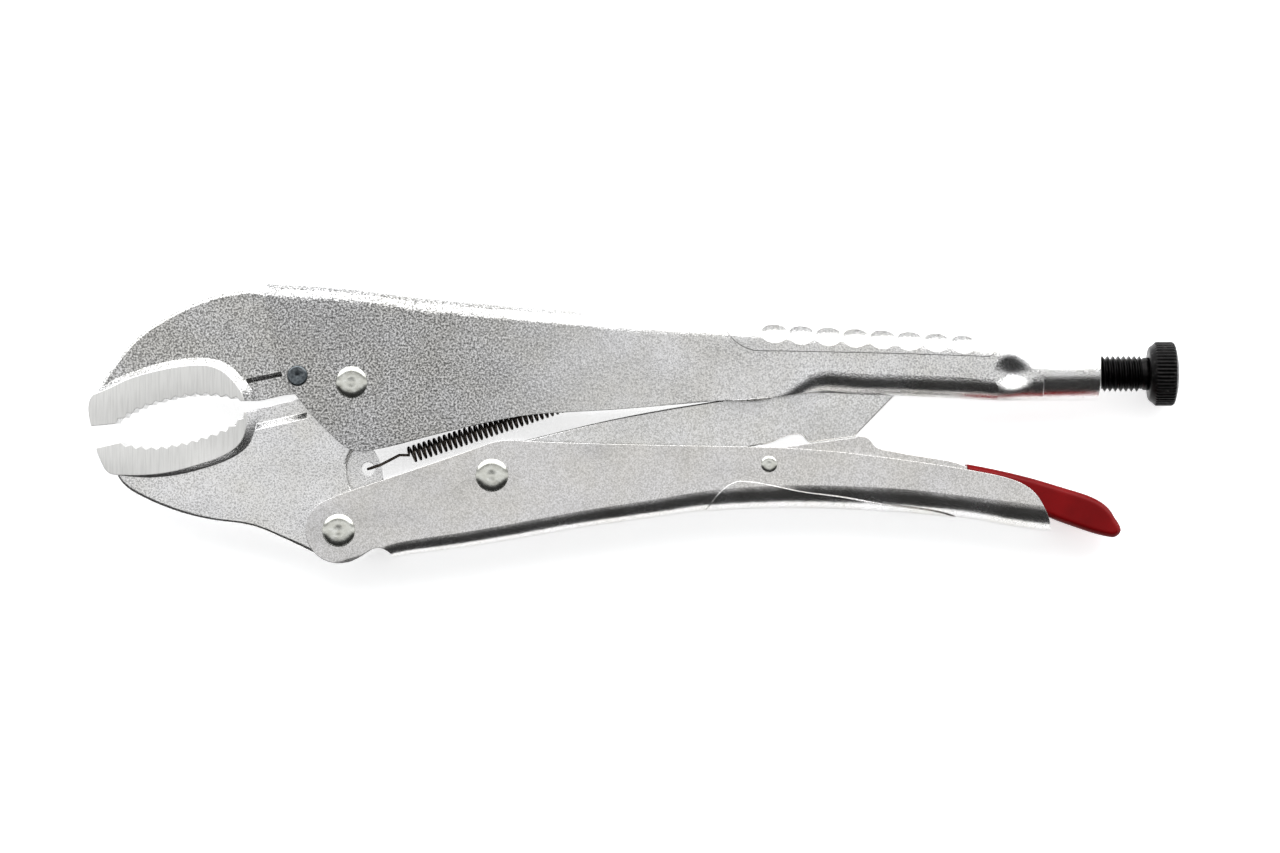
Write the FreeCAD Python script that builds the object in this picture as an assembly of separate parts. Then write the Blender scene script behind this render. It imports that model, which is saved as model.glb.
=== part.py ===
"""Locking pliers, about 305 mm long, lying on their side.

Tool frame while modelling: the main jaw pivot is the origin, +X runs from the jaws to the
adjusting knob, +Y from the lower handle to the upper handle, and Z = 0 is the middle of the
tool's thickness.  Before export everything is shifted so that the origin is the bottom centre
of the whole tool's box.  Lengths are millimetres, angles are degrees.
"""
import FreeCAD, Part
import math
import os

V = FreeCAD.Vector
Z_AXIS = V(0, 0, 1)

# ---------------------------------------------------------------- sheet, plates and clearances
handle_width = 16.0        # outside width of both pressed handles
sheet = 2.3                # thickness of the handle sheet
side_clearance = 0.10      # each side, plates between the handle cheeks
fixed_fit = 0.03           # radial, rivet shank in a part that it holds fast
running_fit = 0.07         # radial, rivet shank in a part that turns on it
part_gap = 0.30            # between neighbouring pieces that move past each other
face_proud = 1.8           # toothed jaw faces stand this far out from the jaw's flat sides
link_thickness = 6.0
slot_clearance = 0.25      # each side, toggle link in the slot of the upper handle
tab_thickness = 5.0        # spring tab of the lower jaw
edge_round = 0.35          # broken edge of plates and forgings

# ---------------------------------------------------------------- linkage
lower_pivot = V(-3.6, -41.4, 0)          # lower jaw to lower handle
toggle_pivot = V(39.2, -26.0, 0)         # lower handle to toggle link
lever_pivot = V(116.6, -22.9, 0)         # lower handle to release lever
spring_hole = V(4.3, -24.3, 0)
jaw_pin_place = V(-15.1, 1.8, 0)
screw_height = 2.4                       # screw axis above the main pivot
nose_reach = 152.3                       # main pivot to the centre of the toggle link's nose
nose_radius = 4.0
nose_travel = 2.9                        # room between the nose and the screw's tip

# ---------------------------------------------------------------- upper handle and screw
barrel_start = 191.4
barrel_length = 18.1
neck_start = 181.5
curl_start = 119.0         # the lower edges begin to curl inwards here
curl_end = 131.0           # and are fully curled here
lip_radius = 6.4
screw_radius = 5.0         # M10
screw_pitch = 1.5
thread_depth = 0.85
barrel_clearance = 0.07
bore_stock = 0.3           # extra wall before the barrel is bored for the screw
pinch_radius = 3.4         # dent on each side of the neck, facing a little upwards
pinch_depth = 0.6
pinch_lean = 24.0
barrel_swell = 0.08        # the barrel stands this much proud of the neck's end
lead_length = 5.0          # and swells to it over this length
seam_gap = 0.25            # rolled edges that almost meet under the barrel
thread_showing = 11.4      # thread between the barrel and the plain neck of the knob
knob_radius = 9.0
knob_rim = 5.6
shoulder_length = 1.7
crown_length = 1.1
knob_stub = 4.0            # radius of the screw's plain end inside the knob

# ---------------------------------------------------------------- rivets, pins and spring
rivet_head_height = 1.0
main_rivet_radius = 3.4
main_head_radius = 4.45
link_rivet_radius = 3.3
link_head_radius = 4.6
lever_rivet_radius = 1.7
lever_head_radius = 2.3
lever_head_height = 0.5
jaw_pin_radius = 2.8
jaw_pin_proud = 0.8
spring_radius = 2.5
spring_wire = 0.85
spring_angle = 18.5
spring_length = 66.0       # from the tab hole to the anchor pin
anchor_radius = 1.5
hook_length = 12.2         # from the tab hole to the first full turn

# ---------------------------------------------------------------- jaws
jaw_lobe = 11.0            # radius of the lower jaw round the main pivot
ear_radius = 9.2           # radius of jaw and handle round the lower pivot
tooth_count = 13
tooth_depth = 0.9
cutter_recess = 1.7        # the wire cutter is this much thinner on each side
spring_hole_radius = 1.9

# ---------------------------------------------------------------- release lever and grips
lever_sheet = 1.8
tail_width = 8.6           # width of the lever's tail inside the dip
lever_lift_gap = 0.25      # between the lever's hump and the toggle link's foot
dip_start = 172.0          # the plastic dip on the lever begins here
dip_side = 0.30            # clearance of the dipped end inside the handle
dip_round = 1.1            # rounding of the dip's long edges
panel_raise = 0.30
dimple_radius = 1.8
dimple_depth = 0.32
dimple_pitch = 7.55
dimple_count = 8

half_width = handle_width / 2
inner_half = half_width - sheet
jaw_thickness = 2 * (inner_half - side_clearance)
face_thickness = jaw_thickness + 2 * face_proud
screw_tip = nose_reach + nose_radius + nose_travel
barrel_end = barrel_start + barrel_length
barrel_outer = screw_radius + barrel_clearance + sheet
slot_half = link_thickness / 2 + slot_clearance
full_curl = math.degrees(math.acos((slot_half - half_width + lip_radius) / (lip_radius - sheet)))
nose = V(nose_reach, screw_height, 0)


# ================================================================ helpers
def at(x, y):
    return V(x, y, 0)


def polar(centre, radius, degrees):
    angle = math.radians(degrees)
    return centre + V(radius * math.cos(angle), radius * math.sin(angle), 0)


def curve(points):
    """A smooth edge through points given as vectors or (x, y)."""
    vectors = [p if isinstance(p, V) else at(*p) for p in points]
    spline = Part.BSplineCurve()
    spline.interpolate(vectors)
    return spline.toShape()


def lines(points):
    """Straight edges from point to point."""
    vectors = [p if isinstance(p, V) else at(*p) for p in points]
    return [Part.LineSegment(a, b).toShape() for a, b in zip(vectors, vectors[1:])]


def arc(centre, radius, start, end):
    """An arc from start to end degrees, through the angle half-way."""
    middle = (start + end) / 2
    ends = [polar(centre, radius, a) for a in (start, middle, end)]
    return Part.Arc(*ends).toShape()


def start_of(edge):
    return edge.valueAt(edge.FirstParameter)


def end_of(edge):
    return edge.valueAt(edge.LastParameter)


def outline(*pieces):
    """A closed face from edges or lists of edges in order; gaps are closed by straight edges."""
    flat = []
    for piece in pieces:
        flat.extend(piece if isinstance(piece, list) else [piece])
    edges = []
    for index, edge in enumerate(flat):
        following = flat[(index + 1) % len(flat)]
        edges.append(edge)
        here, there = end_of(edge), start_of(following)
        if (there - here).Length > 1e-6:
            edges.append(Part.LineSegment(here, there).toShape())
    return Part.Face(Part.Wire(edges))


def plate(face, thickness):
    """The face extruded evenly to both sides of the middle plane."""
    solid = face.copy()
    solid.translate(V(0, 0, -thickness / 2))
    return solid.extrude(V(0, 0, thickness))


def rod(centre, radius, length):
    """A cylinder along Z, centred on the middle plane."""
    return Part.makeCylinder(radius, length, V(centre.x, centre.y, -length / 2), Z_AXIS)


def turned(profile, place, axis):
    """A solid of revolution; profile is (distance along the axis, radius) from end to end."""
    points = [V(r, 0, h) for h, r in profile]
    points = [V(0, 0, profile[0][0])] + points + [V(0, 0, profile[-1][0])]
    points = [p for i, p in enumerate(points) if i == 0 or (p - points[i - 1]).Length > 1e-9]
    face = Part.Face(Part.makePolygon(points + [points[0]]))
    solid = face.revolve(V(0, 0, 0), Z_AXIS, 360)
    solid.Placement = FreeCAD.Placement(place, FreeCAD.Rotation(Z_AXIS, axis))
    return solid


def whole(shape):
    """The single solid inside a boolean's result."""
    cleaned = shape.removeSplitter()
    solids = cleaned.Solids
    return max(solids, key=lambda s: s.Volume)


def rounded_sides(solid, half, radius, keep):
    """Rounds the edges of both flat sides at z = +-half whose middle passes keep(x, y)."""
    edges = []
    for edge in solid.Edges:
        box = edge.BoundBox
        flat = abs(abs(box.ZMin) - half) < 1e-4 and box.ZMax - box.ZMin < 1e-4
        middle = edge.valueAt((edge.FirstParameter + edge.LastParameter) / 2)
        if flat and keep(middle.x, middle.y):
            edges.append(edge)
    return solid.makeFillet(radius, edges)


# ================================================================ pressed channels
def channel_section(x, web, lip_end, web_radius, lip_turn, wall, grow=0.0, half=half_width):
    """Closed wire of a pressed channel across X; the web is the closed side.

    web and lip_end are heights; lip_turn is how far the free edges curl inwards, in degrees.
    grow thickens the sheet outwards.  It works for a channel open below or open above.
    """
    way = 1 if web > lip_end else -1
    outer = half + grow
    web_y = web + way * grow
    lip_y = lip_end - way * (grow if lip_turn > 30 else 0)
    big = web_radius + grow
    lip = min(lip_radius, half - 0.05) + grow
    turn = math.radians(lip_turn)
    cheek_y = lip_y + way * lip * math.sin(turn)

    def side(sign, inset):
        """Points of one half of the outline: lip end, lip arc, cheek, web arc, web."""
        r_lip = lip - inset
        r_web = big - inset
        lip_z = outer - lip
        web_z = outer - big
        centre_y = web_y - way * big
        lip_at = [V(x, cheek_y - way * r_lip * math.sin(a), sign * (lip_z + r_lip * math.cos(a)))
                  for a in (turn, turn / 2, 0)]
        web_at = [V(x, centre_y + way * r_web * math.sin(a), sign * (web_z + r_web * math.cos(a)))
                  for a in (0, math.pi / 4, math.pi / 2)]
        return lip_at, web_at

    def run(inset, sign):
        lip_a, web_a = side(sign, inset)
        lip_b, web_b = side(-sign, inset)
        return [
            Part.Arc(*lip_a).toShape(),
            Part.LineSegment(lip_a[2], web_a[0]).toShape(),
            Part.Arc(*web_a).toShape(),
            Part.LineSegment(web_a[2], web_b[2]).toShape(),
            Part.Arc(*reversed(web_b)).toShape(),
            Part.LineSegment(web_b[0], lip_b[2]).toShape(),
            Part.Arc(*reversed(lip_b)).toShape(),
        ]

    outside = run(0, 1)
    inside = run(wall + grow, -1)
    edges = outside + [Part.LineSegment(end_of(outside[-1]), start_of(inside[0])).toShape()]
    edges += inside + [Part.LineSegment(end_of(inside[-1]), start_of(outside[0])).toShape()]
    return Part.Wire(edges)


def upper_channel(wall=sheet, grow=0.0):
    """The pressed upper handle from jaw end to barrel: open below, curled in, then closed up."""
    closed = 88.5
    stations = [
        # x, web height, free edge, web radius, curl
        (-26.0, 27.9, -19.6, 4.2, 2),
        (-14.0, 27.1, -19.6, 4.2, 2),
        (0.0, 26.0, -19.6, 4.2, 2),
        (9.5, 24.8, -18.2, 4.2, 2),
        (22.0, 23.3, -14.9, 4.3, 2),
        (36.0, 22.1, -11.7, 4.6, 2),
        (48.0, 21.1, -9.4, 4.9, 2),
        (64.0, 20.0, -8.2, 5.3, 2),
        (82.0, 19.0, -7.0, 5.5, 2),
        (103.0, 17.9, -5.2, 5.8, 2),
        (curl_start, 17.0, -4.0, 6.0, 3),
        ((curl_start + curl_end) / 2, 16.7, -3.3, 6.1, full_curl / 2),
        (curl_end, 16.4, -2.9, 6.2, full_curl),
        (138.0, 16.1, -3.1, 6.3, full_curl),
        (152.0, 15.4, -3.7, 6.4, full_curl),
        (166.0, 14.6, -4.3, 6.5, full_curl),
        (neck_start - 6.0, 13.9, -4.8, 6.6, full_curl),
        (neck_start, 13.4, -5.1, 6.7, full_curl),
    ]
    wires = [channel_section(x, web, lip, radius, turn, wall, grow)
             for x, web, lip, radius, turn in stations]
    for share in (0.25, 0.5, 0.75):
        ease = share * share * (3 - 2 * share)
        web = 13.4 + (screw_height + barrel_outer - 13.4) * ease
        lip = -5.1 + (screw_height - barrel_outer + 5.1) * ease
        half = half_width + (barrel_outer - half_width) * ease
        radius = 6.7 + (barrel_outer - 0.1 - 6.7) * ease
        wires.append(channel_section(neck_start + (barrel_start - neck_start) * share, web, lip,
                                     radius, full_curl + (closed - full_curl) * ease,
                                     wall + bore_stock * ease, grow, half))
    for x in (barrel_start, barrel_start + 2.0):
        wires.append(channel_section(x, screw_height + barrel_outer, screw_height - barrel_outer,
                                     barrel_outer - 0.1, closed, wall + bore_stock, grow,
                                     barrel_outer))
    return Part.makeLoft(wires, True, False)


def barrel():
    """The rolled end of the handle, closed to a tube with a fine seam underneath."""
    start = barrel_start + 1.0
    length = barrel_end - start
    axis = V(1, 0, 0)
    tube = Part.makeCylinder(barrel_outer + barrel_swell, length, V(start, screw_height, 0), axis)
    tube = tube.makeFillet(0.5, [e for e in tube.Edges if e.BoundBox.XMin > barrel_end - 0.01
                                 and e.BoundBox.ZMax > 1])
    seam = Part.makeBox(length + 2, barrel_outer, seam_gap,
                        V(start - 1, screw_height - barrel_outer - 1, -seam_gap / 2))
    lead_in = Part.makeCone(barrel_outer - 2 * barrel_swell, barrel_outer + barrel_swell,
                            lead_length, V(start - lead_length, screw_height, 0), axis)
    return tube.fuse(lead_in).cut(seam)


def lower_channel(wall=sheet, grow=0.0):
    """The pressed lower handle, open above."""
    stations = [
        # x, web height, free edge, web radius
        (-16.0, -52.6, -22.0, 4.0),
        (11.0, -49.3, -22.0, 4.0),
        (22.0, -47.5, -20.0, 4.2),
        (44.0, -44.3, -14.0, 4.6),
        (64.0, -40.8, -14.0, 4.8),
        (86.0, -37.7, -15.0, 5.2),
        (98.0, -36.1, -15.5, 5.6),
        (111.0, -35.2, -16.0, 6.0),
        (122.0, -35.0, -16.5, 6.2),
        (139.0, -35.4, -17.5, 6.4),
        (157.0, -36.5, -20.0, 6.4),
        (175.0, -38.6, -22.0, 6.4),
        (199.0, -41.9, -24.0, 6.4),
    ]
    wires = [channel_section(x, web, lip, radius, 2, wall, grow)
             for x, web, lip, radius in stations]
    return Part.makeLoft(wires, True, False)


def dent(place, outward, radius, depth):
    """The ball that cuts a shallow round dent of that radius into a surface at place."""
    ball_radius = (radius ** 2 + depth ** 2) / (2 * depth)
    centre = place + outward * (ball_radius - depth)
    return Part.makeSphere(ball_radius, centre)


def upper_grip_panel():
    """Raised grip on the back of the upper handle."""
    edge = outline(
        curve([(103.2, 18.5), (104.6, 14.5), (106.7, 11.9), (109.5, 9.9), (113.3, 8.8)]),
        curve([(113.3, 8.8), (135.9, 8.4), (152.6, 8.0), (176.9, 7.2)]),
        curve([(176.9, 7.2), (179.0, 7.7), (180.1, 9.7), (180.2, 14.5)]),
        lines([(180.2, 14.5), (180.2, 22.0), (103.2, 22.0), (103.2, 18.5)]),
    )
    return upper_channel(sheet / 2, panel_raise).common(plate(edge, 2 * handle_width))


def lower_grip_panel():
    """Raised grip on the back of the lower handle."""
    edge = outline(
        curve([(99.0, -36.0), (101.5, -32.4), (105.0, -29.0), (108.5, -27.6)]),
        curve([(108.5, -27.6), (115.8, -28.5), (125.1, -30.5), (136.7, -32.1), (148.1, -34.2),
               (166.8, -37.2), (170.0, -38.4)]),
        lines([(170.0, -38.4), (170.0, -42.0), (99.0, -42.0), (99.0, -36.0)]),
    )
    return lower_channel(sheet / 2, panel_raise).common(plate(edge, 2 * handle_width))


def upper_dimples():
    """Two rows of dents on each side of the back of the grip."""
    dents = []
    for index in range(dimple_count):
        x = 118.2 + index * dimple_pitch
        back = 17.0 - 0.055 * (x - curl_start)
        for side in (-1, 1):
            slope = V(0, math.sin(math.radians(38)), side * math.cos(math.radians(38)))
            edge = V(x, back - 4.7, side * (half_width - 1.3))
            dents.append(dent(edge + slope * 0.35, slope, dimple_radius, dimple_depth))
            steep = V(0, math.sin(math.radians(72)), side * math.cos(math.radians(72)))
            crest = V(x - dimple_pitch / 2, back - 0.8, side * (half_width - 4.9))
            dents.append(dent(crest + steep * 0.35, steep, dimple_radius, dimple_depth))
    return dents


def neck_pinches():
    """The dent that the press leaves on each side where the channel is closed to a barrel."""
    lean = math.radians(pinch_lean)
    place_x = neck_start + 3.9
    return [dent(V(place_x, screw_height - 4.0, side * (half_width - 0.6)),
                 V(0, math.sin(lean), side * math.cos(lean)), pinch_radius, pinch_depth)
            for side in (-1, 1)]


def upper_handle():
    """Pressed handle with the tapped barrel at its end."""
    solid = upper_channel()
    front = outline(
        curve([(-23.4, 30.0), (-24.0, 22.9), (-23.4, 17.3), (-21.2, 8.9), (-19.0, 1.1),
               (-15.1, -4.2), (-9.8, -10.6), (-4.7, -15.6), (-0.8, -18.6), (2.5, -19.3)]),
        lines([(2.5, -19.3), (4.0, -24.0), (-34.0, -24.0), (-34.0, 34.0), (-23.4, 34.0),
               (-23.4, 30.0)]),
    )
    solid = solid.cut(plate(front, 3 * handle_width))
    solid = solid.fuse([upper_grip_panel(), barrel()])
    solid = solid.cut(upper_dimples() + neck_pinches())
    holes = [rod(V(0, 0, 0), main_rivet_radius + fixed_fit, 2 * handle_width),
             rod(jaw_pin_place, jaw_pin_radius + fixed_fit, 2 * handle_width)]
    bore = Part.makeCylinder(screw_radius + barrel_clearance, barrel_end - neck_start + 10,
                             V(neck_start - 2, screw_height, 0), V(1, 0, 0))
    return whole(solid.cut(holes + [bore]))


def lower_handle():
    """Pressed handle with two ears round the lower jaw's foot and an open rear end."""
    ear = lower_pivot
    side_view = outline(
        arc(ear, ear_radius, 282, 122),
        curve([polar(ear, ear_radius, 122), (-4.5, -31.9), (3.9, -28.9), (13.7, -25.7),
               (24.8, -21.9), (36.0, -18.0), (40.2, -16.6), (44.0, -16.2), (48.3, -16.4),
               (60.0, -16.9), (86.2, -17.6), (114.1, -18.1), (128.3, -18.8), (147.6, -20.8),
               (169.9, -24.0)]),
        curve([(169.9, -24.0), (183.0, -26.7), (190.3, -30.4), (194.2, -36.5), (195.4, -40.0),
               (195.6, -43.0)]),
        lines([(195.6, -43.0), (195.0, -56.0), (11.7, -56.0), (11.7, -49.6)]),
        curve([(11.7, -49.6), (9.9, -47.2), (7.6, -46.3), (4.7, -47.2), (1.6, -49.2),
               polar(ear, ear_radius, 282)]),
    )
    solid = lower_channel().fuse(lower_grip_panel())
    solid = solid.common(plate(side_view, 3 * handle_width))
    window = Part.makeBox(30, 30, 2 * inner_half, V(-19.4, -62, -inner_half))
    holes = [rod(lower_pivot, link_rivet_radius + running_fit, 2 * handle_width),
             rod(toggle_pivot, link_rivet_radius + fixed_fit, 2 * handle_width),
             rod(lever_pivot, lever_rivet_radius + fixed_fit, 2 * handle_width)]
    return whole(solid.cut([window] + holes))


# ================================================================ jaws
def toothed(points, count, depth, tip_side):
    """A saw-tooth edge list along the smooth curve through points."""
    smooth = curve(points)
    ends = smooth.discretize(Number=2 * count + 1)
    corners = []
    for index, point in enumerate(ends):
        before = ends[max(index - 1, 0)]
        after = ends[min(index + 1, len(ends) - 1)]
        tangent = (after - before).normalize()
        normal = V(-tangent.y, tangent.x, 0) * tip_side
        corners.append(point + normal * (depth if index % 2 else 0))
    return lines(corners)


def side_recess(start, end, width, depth, half, reach, side):
    """A wedge that thins a plate's side beyond the line from start to end, up to reach away.

    The recess begins at the line, slopes in over width, and is depth deep from there on.
    side is +1 for the left of the line's direction and -1 for the right.
    """
    along = (end - start).normalize()
    across = V(-along.y, along.x, 0) * side
    tools = []
    for sign in (1, -1):
        corners = [(0, half), (width, half - depth), (reach, half - depth), (reach, half + 3),
                   (0, half + 3)]
        points = [start + across * u + V(0, 0, sign * z) for u, z in corners]
        face = Part.Face(Part.makePolygon(points + [points[0]]))
        tools.append(face.extrude(end - start))
    return tools


def raised_face(foot, top, low, high):
    """A block between two closed edge lists with matching edges, on both sides of a plate."""
    levels = []
    for edges, height in ((foot, low), (top, high)):
        wire = Part.Wire(edges)
        wire.translate(V(0, 0, height))
        levels.append(wire)
    upper = Part.makeLoft(levels, True, True)
    return [upper, upper.mirror(V(0, 0, 0), Z_AXIS)]


def upper_jaw():
    """Forged fixed jaw: flat-sided body, proud toothed face, cutter and a tongue in the handle."""
    half = jaw_thickness / 2
    seat = jaw_lobe + part_gap
    inner_top = 26.85 - sheet
    body = outline(
        curve([(-71.3, -2.3), (-68.6, 2.1), (-65.8, 6.0), (-60.3, 12.4), (-50.5, 19.1),
               (-39.3, 24.0), (-30.0, 25.7), (-26.5, 25.7), (-23.6, inner_top)]),
        lines([(-23.6, inner_top), (-4.0, inner_top - 1.7), (12.5, inner_top - 3.1),
               (12.5, 15.0)]),
        lines([at(12.5, 15.0), polar(V(0, 0, 0), seat, 62)]),
        arc(V(0, 0, 0), seat, 62, 196),
        curve([polar(V(0, 0, 0), seat, 196), (-15.3, -3.3), (-19.8, -3.7), (-24.8, -4.9),
               (-27.3, -5.2)]),
        lines([(-27.3, -5.2), (-31.0, -2.0), (-58.0, 0.5), (-71.3, -2.3)]),
    )
    solid = plate(body, jaw_thickness)
    solid = rounded_sides(solid, half, 1.2, lambda x, y: x < -10 and y > 0)
    front = curve([(-72.2, -3.4), (-73.4, -5.6), (-73.6, -7.6), (-73.3, -10.0), (-72.8, -12.3)])
    bite = lines([(-72.8, -12.3), (-66.0, -11.6)])
    bite += toothed([(-66.0, -11.6), (-63.1, -9.8), (-58.3, -7.3), (-53.3, -5.7), (-47.7, -4.4),
                     (-42.1, -3.8), (-36.5, -4.2), (-31.0, -5.3)], tooth_count, tooth_depth, 1)
    foot = [front] + bite + lines([(-31.0, -5.3), (-27.3, -5.2)]) + [
        curve([(-27.3, -5.2), (-27.9, -2.2), (-31.0, 1.6), (-33.8, 4.3), (-39.3, 6.5),
               (-44.9, 6.7), (-50.5, 6.0), (-56.1, 4.6), (-63.1, 2.2), (-68.6, -0.5),
               (-72.2, -3.4)])]
    top = [front] + bite + lines([(-31.0, -5.3), (-30.2, -5.25)]) + [
        curve([(-30.2, -5.25), (-30.6, -3.6), (-33.4, 0.6), (-36.5, 3.3), (-40.0, 4.6),
               (-45.0, 4.7), (-50.5, 4.0), (-56.1, 2.8), (-63.1, 0.6), (-69.0, -2.2),
               (-72.2, -3.4)])]
    core = plate(outline(foot), jaw_thickness)
    sides = raised_face(foot, top, half, face_thickness / 2)
    solid = solid.fuse([core] + sides)
    cutter = side_recess(V(-29.6, 0.9, 0), V(-13.0, 4.3, 0), 1.2, cutter_recess, half, 9.0, -1)
    keep_face = plate(outline(foot), 2 * face_thickness)
    cutter = [tool.cut(keep_face) for tool in cutter]
    cutter = [tool.cut(plate_box(-14.5, 40.0, -20, 30)) for tool in cutter]
    solid = solid.cut(cutter)
    return whole(solid.cut(rod(jaw_pin_place, jaw_pin_radius + fixed_fit, 40)))


def plate_box(x_low, x_high, y_low, y_high):
    """A tall box for trimming tools."""
    return Part.makeBox(x_high - x_low, y_high - y_low, 60, V(x_low, y_low, -30))


def lower_jaw():
    """Forged moving jaw: lobe on the main pivot, foot on the lower pivot and a thin spring tab."""
    half = jaw_thickness / 2
    foot = lower_pivot
    body = outline(
        arc(V(0, 0, 0), jaw_lobe, 205, -35),
        curve([polar(V(0, 0, 0), jaw_lobe, -35), (5.0, -12.5), (0.8, -18.2), (-1.2, -22.0),
               (-1.4, -25.2), (-0.2, -29.6), (3.0, -34.5), polar(foot, ear_radius, 15)]),
        arc(foot, ear_radius, 15, -117),
        curve([polar(foot, ear_radius, -117), (-11.4, -47.6), (-17.0, -44.9), (-22.3, -42.5),
               (-27.6, -40.5), (-38.2, -38.9), (-48.8, -36.4), (-59.7, -31.8), (-63.3, -29.5),
               (-66.0, -25.9)]),
        lines([(-66.0, -25.9), (-58.0, -22.0), (-40.0, -18.0), (-29.0, -8.2)]),
        curve([(-29.0, -8.2), (-24.8, -7.0), (-19.8, -5.9), (-15.1, -4.7),
               polar(V(0, 0, 0), jaw_lobe, 205)]),
    )
    solid = plate(body, jaw_thickness)
    solid = rounded_sides(solid, half, 1.0, lambda x, y: x < -14 and y < -25.8)
    tab = outline(
        lines([(-2.0, -16.0), (5.4, -16.0), (5.9, -19.3)]),
        curve([(5.9, -19.3), (7.3, -21.8), (8.1, -24.6), (8.4, -27.6), (7.4, -33.0),
               polar(foot, ear_radius, 25)]),
        lines([polar(foot, ear_radius, 25), foot, at(-2.0, -16.0)]),
    )
    solid = solid.fuse(plate(tab, tab_thickness))
    front = curve([(-71.4, -18.4), (-70.9, -20.1), (-70.0, -22.3), (-68.4, -24.9), (-66.0, -25.9)])
    bite = toothed([(-30.1, -8.3), (-31.5, -10.2), (-34.0, -12.1), (-39.3, -14.4), (-44.4, -16.0),
                    (-49.7, -17.2), (-55.5, -17.9), (-60.0, -17.6), (-64.4, -16.8)],
                   tooth_count, tooth_depth, 1)
    bite += lines([(-64.4, -16.8), (-71.4, -18.4)])
    heel = [front,
            curve([(-66.0, -25.9), (-61.7, -26.3), (-57.5, -26.6), (-53.3, -26.4),
                   (-49.1, -25.9), (-44.9, -25.0), (-39.3, -23.4), (-33.8, -21.2),
                   (-31.0, -19.5), (-29.0, -17.6), (-27.6, -14.6), (-26.8, -12.0),
                   (-26.5, -7.9)])] + lines([(-26.5, -7.9), (-30.1, -8.3)]) + bite
    top = [front,
           curve([(-66.0, -25.9), (-61.7, -26.0), (-57.5, -25.9), (-53.3, -25.5),
                  (-47.7, -24.4), (-42.1, -22.8), (-37.9, -21.4), (-33.8, -19.3),
                  (-31.4, -17.2), (-30.2, -15.0), (-29.6, -12.0),
                  (-29.7, -8.26)])] + lines([(-29.7, -8.26), (-30.1, -8.3)]) + bite
    core = plate(outline(heel), jaw_thickness)
    sides = raised_face(heel, top, half, face_thickness / 2)
    solid = solid.fuse([core] + sides)
    cutter = side_recess(V(-27.0, -13.4, 0), V(-9.0, -9.3, 0), 1.7, cutter_recess, half, 12.0, 1)
    keep_face = plate(outline(heel), 2 * face_thickness)
    cutter = [tool.cut(keep_face) for tool in cutter]
    cutter = [tool.cut(plate_box(-12.6, 40.0, -30, 30)) for tool in cutter]
    solid = solid.cut(cutter)
    holes = [rod(V(0, 0, 0), main_rivet_radius + running_fit, 40),
             rod(foot, link_rivet_radius + fixed_fit, 40),
             rod(spring_hole, spring_hole_radius, 40)]
    return whole(solid.cut(holes))


# ================================================================ toggle link and lever
def foot_line():
    """The sloping foot of the toggle link that rests on the release lever's hump."""
    return [at(128.3, -16.9), at(140.6, -15.3)]


def toggle_link():
    """Flat link from the lower handle up into the upper handle, with a nose for the screw."""
    eye = 7.0
    heel, toe = foot_line()
    slope = (toe - nose).normalize()
    side_view = outline(
        curve([polar(toggle_pivot, eye, 96), (47.2, -16.6), (60.0, -13.4), (70.6, -10.9),
               (82.0, -8.6), (93.5, -6.6), (107.1, -4.4), (124.0, -0.6), (138.0, 3.4),
               polar(nose, nose_radius, 100)]),
        arc(nose, nose_radius, 100, -39),
        lines([polar(nose, nose_radius, -39), toe, heel]),
        curve([heel, (127.5, -16.5), (126.1, -15.0), (124.4, -14.6), (119.7, -15.9),
               (114.1, -17.5)]),
        lines([at(114.1, -17.5), at(52.0, -31.2)]),
        curve([at(52.0, -31.2), at(46.0, -32.5), polar(toggle_pivot, eye, 270)]),
        arc(toggle_pivot, eye, 270, 96),
    )
    solid = plate(side_view, link_thickness)
    solid = rounded_sides(solid, link_thickness / 2, edge_round, lambda x, y: x > 48)
    boss = rod(toggle_pivot, eye, jaw_thickness)
    solid = solid.fuse(boss)
    return whole(solid.cut(rod(toggle_pivot, link_rivet_radius + running_fit, 40)))


def lever_side_view(shrink=0.0):
    """Side outline of the release lever; shrink gives the inside of its folded sheet."""
    heel, toe = foot_line()
    drop = V(0, -lever_lift_gap - shrink, 0)
    eye = 4.1 - shrink
    top = [polar(lever_pivot, eye, 90), at(123.0, -17.9 - shrink), heel + drop, toe + drop]
    hump = [toe + drop, at(143.4, -15.3 - shrink), at(144.9 - shrink, -16.2 - shrink),
            at(146.4 - shrink, -18.0 - shrink), at(149.0, -18.95 - shrink),
            at(160.0, -20.9 - shrink), at(dip_start, -23.6 - shrink)]
    tail = [at(dip_start, -23.6 - shrink), at(183.0, -26.3 - shrink), at(200.0, -31.2 - shrink),
            at(207.5, -34.2 - shrink), at(210.5 - shrink, -38.5)]
    under = [at(209.0 - shrink, -41.2 + shrink), at(203.0, -39.3 + shrink),
             at(196.0, -37.2 + shrink), at(186.0, -32.0 + shrink), at(172.0, -28.6 + shrink),
             at(150.0, -27.0 + shrink), at(126.0, -26.8 + shrink),
             polar(lever_pivot, eye, 290)]
    return top, hump, tail, under, eye


def lever_outline(inset=0.0):
    """Closed side view of the release lever, or of the hollow under its folded sheet."""
    top, hump, tail, under, eye = lever_side_view(inset)
    return outline(curve(top[:2]), lines(top[1:]), curve(hump), curve(tail), curve(under),
                   arc(lever_pivot, eye, 290, 90))


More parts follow.
